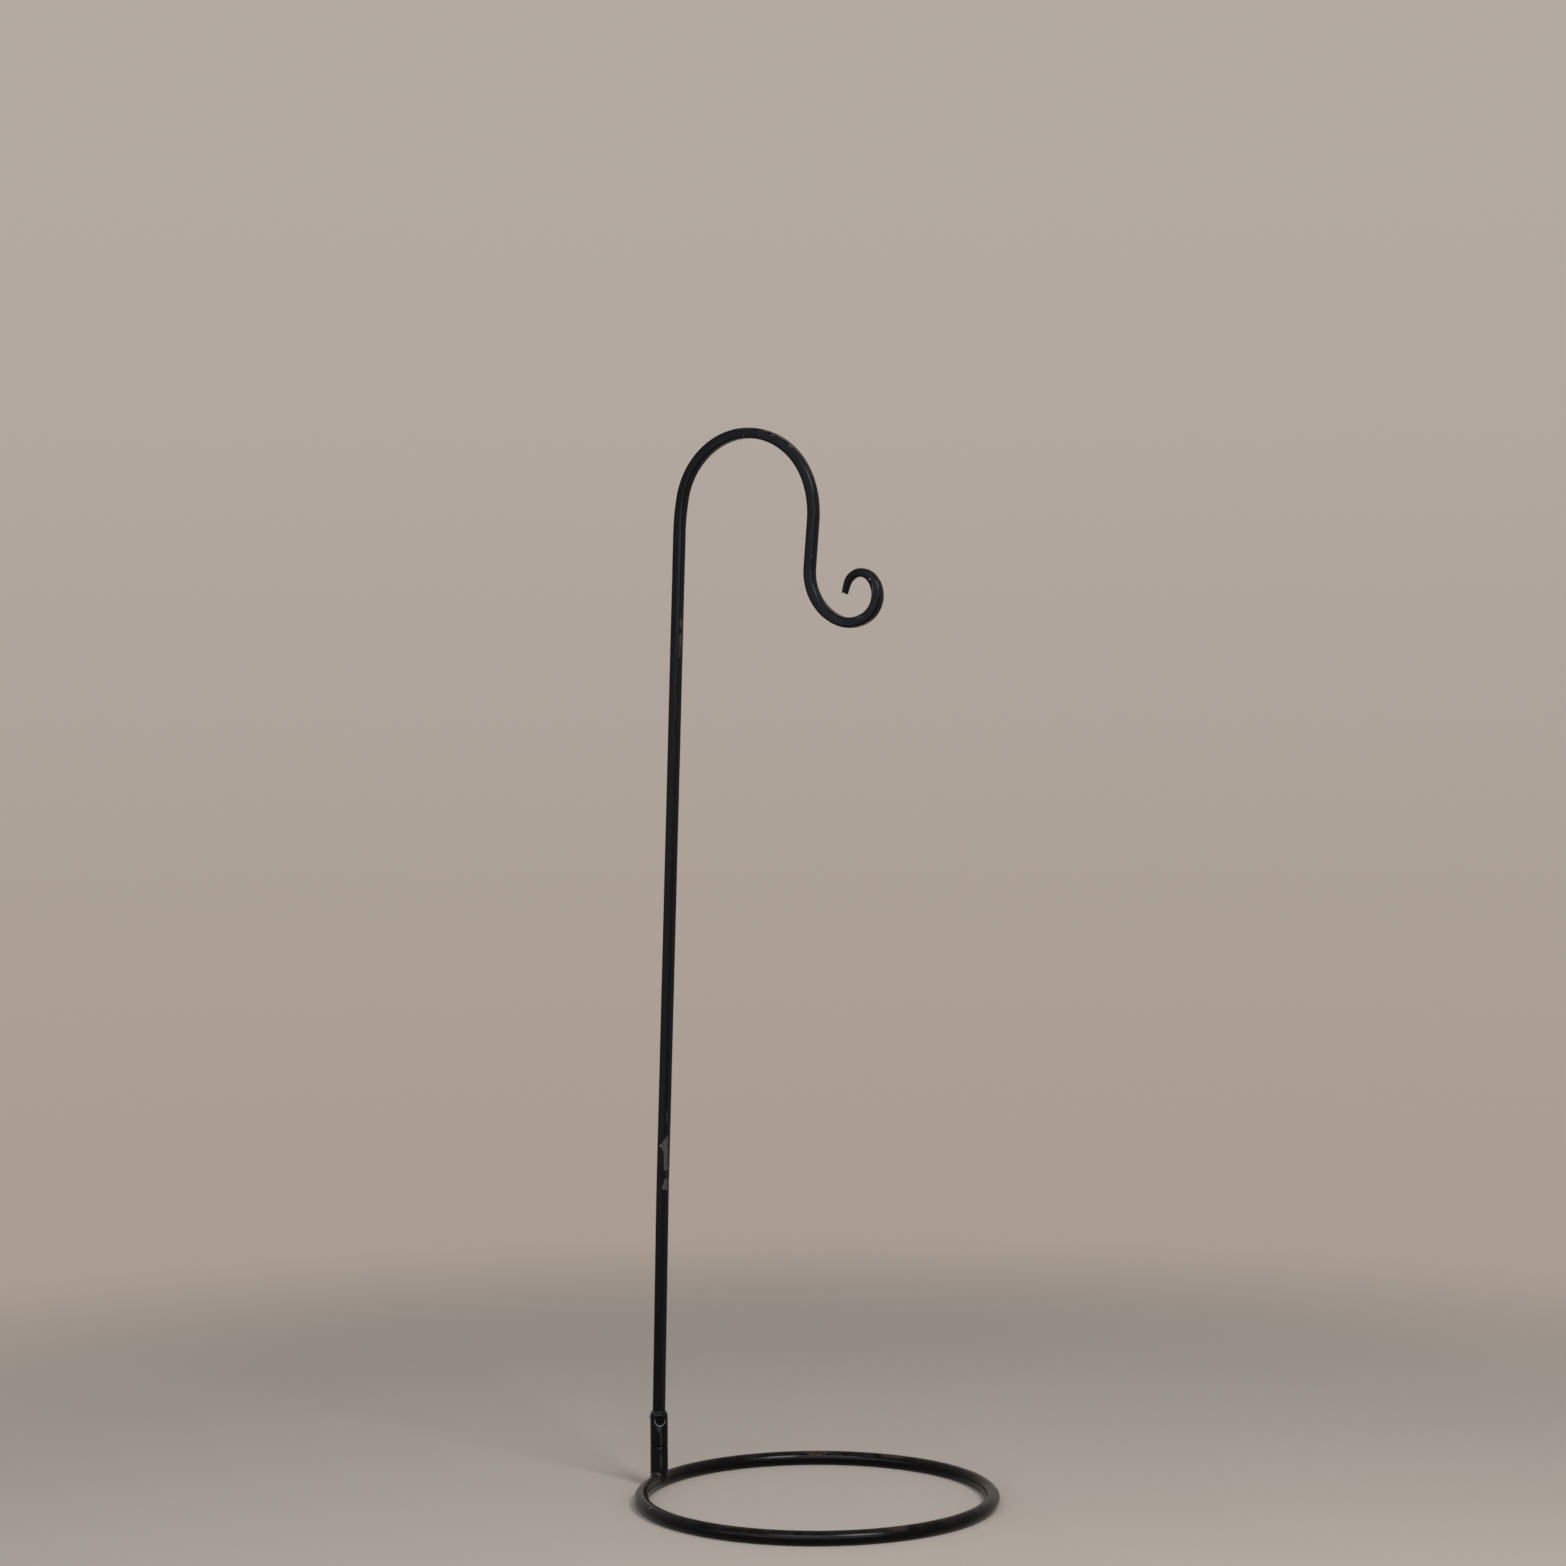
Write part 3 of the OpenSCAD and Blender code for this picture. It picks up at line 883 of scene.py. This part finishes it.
def layers():
    """Paint, rubbed paint with the painted highlights and reflections that share its mask, rust and bare
    steel, one over the other as their masks say.
    """
    tree, given, made = new_group(
        "paint_layers",
        {"Rub And Painted Light": "Float", "Rub Color": "Color", "Rust": "Float", "Bare": "Float", "Dust": "Float",
         "Shine": "Float", "Tone": "Float", "Paint": "Color", "Warm Paint": "Color", "Smooth": "Float",
         "Dull": "Float"},
        {"Color": "Color", "Roughness": "Float", "Metallic": "Float"})
    place = object_place(tree)
    mottle = speckle(tree, place, 1.1 * MM, detail=5.0)
    rust = mix_colour(tree, ramp(tree, mottle, 0.35, 0.65), RUST_DEEP, RUST)
    rub_and_painted_light_share = maths(tree, "MULTIPLY", given["Rub And Painted Light"], ramp(tree, mottle, 0.2, 0.7, 0.45, 1.0))
    colour = mix_colour(tree, given["Tone"], given["Paint"], given["Warm Paint"])
    colour = mix_colour(tree, rub_and_painted_light_share, colour, given["Rub Color"])
    colour = mix_colour(tree, given["Rust"], colour, rust)
    colour = mix_colour(tree, given["Dust"], colour, DUST)
    colour = mix_colour(tree, given["Bare"], colour, STEEL)
    tree.links.new(colour, made["Color"])
    worn = maths(tree, "MAXIMUM", given["Rub And Painted Light"], maths(tree, "MAXIMUM", given["Rust"], given["Dust"]))
    painted = ramp(tree, given["Shine"], 0.0, 1.0, given["Dull"], given["Smooth"])
    roughness = maths(tree, "ADD", painted, maths(tree, "MULTIPLY", worn, 0.28))
    tree.links.new(roughness, made["Roughness"])
    tree.links.new(maths(tree, "MULTIPLY", given["Bare"], 0.9), made["Metallic"])
    return tree


BRUSHED_FILM = brushed_film()
RAGGED_SPOT = ragged_spot()
SCRAPED_CORNER = scraped_corner()
RUBBED_EDGE = rubbed_edge()
SETTLED_DUST = settled_dust()
LAYERS = layers()


def spots_mask(tree, place, spots):
    """The strongest of several ragged spots: wear, and in some lists painted highlights and reflections. A
    spot is (centre, reach, raggedness, strength), in mm.
    """
    mask = 0.0
    for centre, reach, ragged, strength in spots:
        one = use_group(tree, RAGGED_SPOT, {
            "Place": place, "Centre": [c * MM for c in centre], "Reach": [c * MM for c in reach],
            "Ragged": ragged})["Mask"]
        mask = maths(tree, "MAXIMUM", maths(tree, "MULTIPLY", one, strength), mask)
    return mask


def scrapes_mask(tree, place, scrapes):
    """Scrapes over the bar's corner, as (point, slope up, slope down, depth, right, top, bottom), in mm."""
    mask = 0.0
    for point, slope_up, slope_down, depth, right, top, bottom in scrapes:
        one = use_group(tree, SCRAPED_CORNER, {
            "Place": place, "Point": [c * MM for c in point], "Slope Up": slope_up,
            "Slope Down": slope_down, "Depth": depth * MM, "Right": right * MM, "Top": top * MM,
            "Bottom": bottom * MM})["Mask"]
        mask = maths(tree, "MAXIMUM", one, mask)
    return mask


def screw_rim_highlight(tree):
    """The lower half of the sink round the screw's hole, painted lighter: a painted highlight where this lip
    faces up into the light, over paint rubbed thin there.
    """
    place = put(tree, "ShaderNodeMapping",
                {"Vector": object_place(tree), "Location": (POST_X, 0, SCREW_Z),
                 "Rotation": (0, 0, SCREW_AZIMUTH)},
                vector_type="TEXTURE").outputs[0]
    flat = vector_maths(tree, "MULTIPLY", place, (0, 1, 1))
    off = put(tree, "ShaderNodeVectorMath", {0: flat}, operation="LENGTH").outputs["Value"]
    parts = put(tree, "ShaderNodeSeparateXYZ", {0: place}).outputs
    mask = ramp(tree, off, SCREW_HOLE_R, SCREW_HOLE_R + 0.15 * MM)
    for limit in (ramp(tree, off, SCREW_SINK_R, SCREW_SINK_R + 0.12 * MM, 1.0, 0.0),
                  ramp(tree, parts["Z"], -0.2 * MM, 1.0 * MM, 1.0, 0.0),
                  ramp(tree, parts["X"], 0.0, 1.0 * MM)):
        mask = maths(tree, "MULTIPLY", mask, limit)
    return mask


PEEL_SIZE = 0.45 * MM


def worn_paint(name, place=object_place, rubs_and_painted_light=(), scrapes=(), rust=(), bare=(), edge=None,
               dust=0.08, relief=0.03, paint=BAR_PAINT_LIT, shine=(0.15, 0.24), specular=0.09,
               rub_and_painted_light_colour=WARM_RUB_AND_PAINTED_LIGHT, rim=False):
    """Satin black paint with its own places of wear, and painted highlights and reflections laid on with the
    rubs. Relief is in mm, and shine is (smooth, dull).
    """
    material = bpy.data.materials.new(name)
    material.use_nodes = True
    tree = material.node_tree
    shader = tree.nodes["Principled BSDF"]
    shader.inputs["Specular IOR Level"].default_value = specular
    film = use_group(tree, BRUSHED_FILM, {"Peel Size": PEEL_SIZE})
    here = place(tree)
    rub_and_painted_light_mask = maths(tree, "MAXIMUM", spots_mask(tree, here, rubs_and_painted_light), scrapes_mask(tree, here, scrapes))
    if rim:
        rub_and_painted_light_mask = maths(tree, "MAXIMUM", rub_and_painted_light_mask, screw_rim_highlight(tree))
    rust_mask = spots_mask(tree, here, rust)
    if edge:
        edge_value = put(tree, "ShaderNodeAttribute", attribute_name=edge).outputs["Fac"]
        rubbed = use_group(tree, RUBBED_EDGE, {"Edge": edge_value})["Mask"]
        rust_mask = maths(tree, "MAXIMUM", rust_mask, rubbed)
    layered = use_group(tree, LAYERS, {
        "Rub And Painted Light": rub_and_painted_light_mask, "Rub Color": rub_and_painted_light_colour, "Rust": rust_mask, "Bare": spots_mask(tree, here, bare),
        "Dust": use_group(tree, SETTLED_DUST, {"Amount": dust})["Mask"],
        "Shine": film["Shine"], "Tone": film["Tone"], "Paint": paint[0], "Warm Paint": paint[1],
        "Smooth": shine[0], "Dull": shine[1]})
    bump = put(tree, "ShaderNodeBump", {"Height": film["Height"], "Strength": 1.0, "Distance": relief * MM})
    tree.links.new(layered["Color"], shader.inputs["Base Color"])
    tree.links.new(layered["Roughness"], shader.inputs["Roughness"])
    tree.links.new(layered["Metallic"], shader.inputs["Metallic"])
    tree.links.new(bump.outputs["Normal"], shader.inputs["Normal"])
    return material


# Wear on the bar, and the painted highlights among its rubs, are placed as (reach from the post, across,
# height) in the hook's own plane.
# The other pieces' wear and painted light are placed in the frame. A spot is (centre, reach, raggedness,
# strength).
BAR_SCRAPES = [
    ((3.6, 0, 195.3), 0.78, 0.55, 2.3, 8.9, 201.2, 181.0),
    ((4.4, 0, 170.6), 0.36, 6.0, 3.0, 8.7, 176.6, 169.6),
]
BAR_RUBS_AND_HIGHLIGHTS = [
    ((7.0, -1.2, 178.6), (0.7, 1.2, 3.2), 1.4, 0.45),
    ((7.8, -2.0, 211.0), (0.7, 0.9, 4.5), 1.2, 0.4),
    ((17.6, -0.9, 490.8), (0.9, 1.2, 2.8), 1.1, 0.7),
    ((17.4, -0.9, 481.2), (0.9, 1.3, 4.2), 1.2, 0.75),
    ((17.2, -1.2, 474.6), (0.7, 0.5, 4.2), 1.1, 0.7),
    ((71.3, -3.0, 594.4), (0.4, 0.6, 2.6), 0.8, 0.36),
    ((79.7, -3.0, 593.3), (1.6, 0.5, 0.5), 0.6, 0.5),
    ((87.0, -1.8, 591.6), (4.5, 1.6, 1.4), 1.2, 0.6),
    ((92.6, -1.8, 587.8), (3.2, 1.6, 2.4), 1.2, 0.6),
    ((62.0, -2.7, 598.0), (8.0, 0.7, 0.8), 1.0, 0.35),
    # The next three spots along the cradle's upper inner corner are painted highlight where that corner
    # faces the light from above, with some wear. The long thin spot after them is a painted highlight up the
    # inside of the scroll's rise.
    ((120.5, -2.7, 495.6), (3.2, 0.6, 1.6), 0.9, 0.3),
    ((127.5, -2.7, 492.0), (4.0, 0.6, 0.9), 0.9, 0.35),
    ((134.0, -2.7, 491.4), (3.4, 0.6, 0.8), 0.9, 0.3),
    ((142.5, -2.8, 506.5), (0.5, 0.5, 4.2), 0.8, 0.5),
]
BAR_RUSTS = [
    ((17.2, 1.6, 486.0), (1.2, 1.5, 26.0), 1.3, 0.6),
    ((6.8, 1.9, 190.0), (1.2, 1.3, 30.0), 1.4, 0.6),
    ((75.5, -2.6, 595.8), (4.2, 1.0, 0.7), 1.1, 0.5),
    ((84.0, -1.4, 593.6), (6.0, 2.2, 1.6), 1.2, 0.8),
    ((93.5, -0.6, 587.6), (5.0, 2.4, 4.2), 1.2, 0.7),
    ((101.0, 0.5, 572.0), (2.4, 1.9, 11.0), 1.3, 0.5),
    ((146.8, 0.6, 500.0), (1.6, 2.0, 9.0), 1.3, 0.25),
    ((141.0, 0.6, 490.0), (5.0, 2.0, 2.0), 1.3, 0.5),
]
BAR_BARES = [
    ((3.7, -3.0, 195.1), (0.45, 0.4, 0.75), 0.4, 0.30),
    ((17.3, -2.8, 489.6), (0.25, 0.4, 0.8), 0.5, 0.10),
    ((17.1, -2.8, 482.2), (0.25, 0.4, 1.8), 0.6, 0.10),
    ((17.0, -1.1, 472.2), (0.4, 0.4, 0.5), 0.3, 0.2),
    ((60.7, -3.0, 593.6), (0.4, 0.4, 0.45), 0.5, 0.12),
    ((60.5, -3.0, 592.4), (0.3, 0.4, 0.8), 0.5, 0.15),
    ((79.9, -3.0, 593.3), (0.6, 0.3, 0.25), 0.4, 0.1),
    ((104.4, -2.9, 525.7), (0.3, 0.4, 0.4), 0.3, 0.15),
    ((140.8, -2.7, 512.0), (0.42, 0.5, 0.42), 0.2, 0.5),
]
RING_RUSTS = [
    ((-37.6, 87.4, 7.6), (10.0, 5.0, 1.5), 1.3, 0.6),
    ((6.5, 95.4, 7.8), (8.0, 3.0, 1.3), 1.3, 0.55),
    ((-8.0, -96.6, 7.8), (7.0, 3.0, 1.2), 1.3, 0.55),
    ((75.0, -65.4, 7.4), (6.0, 6.0, 1.5), 1.3, 0.5),
]
RING_RUBS_AND_REFLECTIONS = [
    # The two long patches at the ring's left and right ends are painted reflection of a warm wall, with some
    # wear. The small spot after them is wear.
    ((-96.0, -30.0, 7.0), (6.0, 30.0, 4.0), 1.1, 0.3),
    ((95.5, 24.0, 7.0), (6.0, 28.0, 4.0), 1.1, 0.45),
    ((-67.4, -74.0, 7.1), (2.0, 2.0, 1.0), 0.8, 0.7),
]
SOCKET_RUBS_AND_HIGHLIGHTS = [
    # The first three spots are paint rubbed below the screw's hole. The two long thin streaks down the
    # sleeve and down the stub, and the small spot on the stub's rounded top, are painted highlights where
    # these round faces catch the light.
    ((-95.3, -4.4, 36.2), (2.2, 1.7, 1.3), 0.3, 0.20),
    ((-95.3, -4.4, 35.0), (1.6, 1.3, 1.6), 0.3, 0.20),
    ((-95.2, -4.5, 33.8), (0.9, 0.8, 1.7), 0.3, 0.20),
    ((-94.6, -3.6, 29.0), (0.65, 0.7, 6.0), 0.15, 0.17),
    ((-94.6, -3.6, 16.0), (0.65, 0.7, 6.5), 0.15, 0.20),
    ((-94.8, -3.7, 23.3), (0.6, 0.6, 0.4), 0.2, 0.8),
]


# ---- the pieces, finished and set on their bodies ----

def dress(piece, material, body, node):
    piece.data.materials.clear()
    piece.data.materials.append(material)
    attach(piece, body)
    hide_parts(node)


ring_finish = worn_paint("ring_satin_black", rubs_and_painted_light=RING_RUBS_AND_REFLECTIONS, rust=RING_RUSTS, paint=RING_PAINT_SHADED,
                         shine=(0.16, 0.24), specular=0.11)
socket_finish = worn_paint("socket_satin_black", rubs_and_painted_light=SOCKET_RUBS_AND_HIGHLIGHTS, rub_and_painted_light_colour=COOL_RUB_AND_PAINTED_LIGHT, rim=True,
                           paint=SOCKET_PAINT_SHADED, shine=(0.28, 0.34), specular=0.11)
weld_finish = worn_paint("weld_satin_black", dust=0.12, relief=0.02, paint=SOCKET_PAINT_SHADED,
                         shine=(0.20, 0.28), specular=0.14)
bar_finish = worn_paint("bar_satin_black", place=hook_place, rubs_and_painted_light=BAR_RUBS_AND_HIGHLIGHTS, scrapes=BAR_SCRAPES,
                        rust=BAR_RUSTS, bare=BAR_BARES, edge="corner")
screw_finish = worn_paint("screw_black_oxide", dust=0.0, relief=0.01, paint=RING_PAINT_SHADED, shine=(0.3, 0.4))

dress(make_ring(), ring_finish, "base", "base_ring")
dress(make_stub(), socket_finish, "base", "base_stub")
dress(make_stub_weld(), weld_finish, "base", "stub_weld")
dress(make_sleeve(), socket_finish, "hook", "hook_sleeve")
dress(make_sleeve_weld(), weld_finish, "hook", "sleeve_weld")
dress(make_screw(), screw_finish, "screw", "set_screw")
dress(make_bar(), bar_finish, "hook", "hook_bar")


# ---- the studio ----

FLOOR_COLOUR = (0.340, 0.299, 0.263, 1)
BACKDROP_LOW = (0.400, 0.337, 0.292, 1)
BACKDROP_HIGH = (0.455, 0.402, 0.358, 1)
BACKDROP_RISE = (-0.18, 0.2)    # from where to where the backdrop brightens, as the Z of the way one looks
AIR_COLOUR = (0.96, 0.98, 1.0, 1)
AIR_STRENGTH = 0.34
FLOOR_R = 1.1
FLOOR_FADE = (0.4, 0.95)        # from where to where the floor fades into the backdrop, as shares of FLOOR_R


def make_floor():
    bpy.ops.mesh.primitive_circle_add(vertices=128, radius=FLOOR_R, fill_type="NGON")
    floor = name_new("studio_floor")
    material = bpy.data.materials.new("studio_floor")
    material.use_nodes = True
    tree = material.node_tree
    shader = tree.nodes["Principled BSDF"]
    shader.inputs["Base Color"].default_value = FLOOR_COLOUR
    shader.inputs["Roughness"].default_value = 0.9
    shader.inputs["Specular IOR Level"].default_value = 0.1
    far = put(tree, "ShaderNodeVectorMath", {0: object_place(tree)}, operation="LENGTH").outputs["Value"]
    clear = put(tree, "ShaderNodeBsdfTransparent")
    gone = ramp(tree, far, FLOOR_FADE[0] * FLOOR_R, FLOOR_FADE[1] * FLOOR_R)
    blend = put(tree, "ShaderNodeMixShader", {0: gone, 1: shader.outputs[0], 2: clear.outputs[0]})
    tree.links.new(blend.outputs[0], tree.nodes["Material Output"].inputs["Surface"])
    floor.data.materials.append(material)


def light_the_world():
    world = bpy.data.worlds.new("studio_air")
    bpy.context.scene.world = world
    world.use_nodes = True
    tree = world.node_tree
    way = put(tree, "ShaderNodeTexCoord").outputs["Generated"]
    upwards = put(tree, "ShaderNodeSeparateXYZ", {0: way}).outputs["Z"]
    backdrop = mix_colour(tree, ramp(tree, upwards, *BACKDROP_RISE), BACKDROP_LOW, BACKDROP_HIGH)
    seen = put(tree, "ShaderNodeBackground", {"Color": backdrop, "Strength": 1.0})
    air = tree.nodes["Background"]
    air.inputs["Color"].default_value = AIR_COLOUR
    air.inputs["Strength"].default_value = AIR_STRENGTH
    rays = put(tree, "ShaderNodeLightPath").outputs
    direct = maths(tree, "MAXIMUM", rays["Is Camera Ray"],
                   maths(tree, "MAXIMUM", rays["Is Glossy Ray"], rays["Is Transmission Ray"]))
    blend = put(tree, "ShaderNodeMixShader", {0: direct, 1: air.outputs[0], 2: seen.outputs[0]})
    tree.links.new(blend.outputs[0], tree.nodes["World Output"].inputs["Surface"])


STAND_MIDDLE = Vector((0, 0, 0.3))


def hang_lamp(name, azimuth, elevation, distance, width, height, power, colour):
    """A soft box that looks at the middle of the stand. Its directions are in degrees from +X."""
    a, e = math.radians(azimuth), math.radians(elevation)
    back = Vector((math.cos(a) * math.cos(e), math.sin(a) * math.cos(e), math.sin(e)))
    data = bpy.data.lights.new(name, "AREA")
    data.shape = "RECTANGLE"
    data.size, data.size_y = width, height
    data.energy = power
    data.color = colour
    lamp = bpy.data.objects.new(name, data)
    bpy.context.scene.collection.objects.link(lamp)
    lamp.location = STAND_MIDDLE + back * distance
    lamp.rotation_euler = (-back).to_track_quat("-Z", "Y").to_euler()


CAMERA_PLACE = (0.7215, -1.6828, 0.4257)
CAMERA_TURN, CAMERA_TILT, CAMERA_ROLL = 23.75, 89.22, -0.23
CAMERA_LENS = 75.86


def set_camera():
    data = bpy.data.cameras.new("camera")
    data.lens = CAMERA_LENS
    data.sensor_width = 36
    data.clip_start, data.clip_end = 0.01, 100
    camera = bpy.data.objects.new("camera", data)
    bpy.context.scene.collection.objects.link(camera)
    turn = (Matrix.Rotation(math.radians(CAMERA_TURN), 4, "Z")
            @ Matrix.Rotation(math.radians(CAMERA_TILT), 4, "X")
            @ Matrix.Rotation(math.radians(CAMERA_ROLL), 4, "Z"))
    camera.matrix_world = Matrix.Translation(CAMERA_PLACE) @ turn
    bpy.context.scene.camera = camera


make_floor()
light_the_world()
hang_lamp("window_light", azimuth=-36, elevation=38, distance=1.7, width=0.6, height=0.6, power=26,
          colour=(1.0, 0.99, 0.97))
hang_lamp("low_window_light", azimuth=-66, elevation=11, distance=2.4, width=4.0, height=0.6, power=28,
          colour=(0.90, 0.95, 1.0))
hang_lamp("front_light", azimuth=-80, elevation=36, distance=1.8, width=1.1, height=0.55, power=13,
          colour=(0.92, 0.96, 1.0))
hang_lamp("left_light", azimuth=-116, elevation=16, distance=2.0, width=0.9, height=0.8, power=4.6,
          colour=(0.74, 0.86, 1.0))
hang_lamp("low_left_light", azimuth=-130, elevation=-3, distance=2.0, width=1.0, height=0.7, power=1.9,
          colour=(0.74, 0.86, 1.0))
set_camera()
bpy.context.scene.view_settings.view_transform = "Standard"
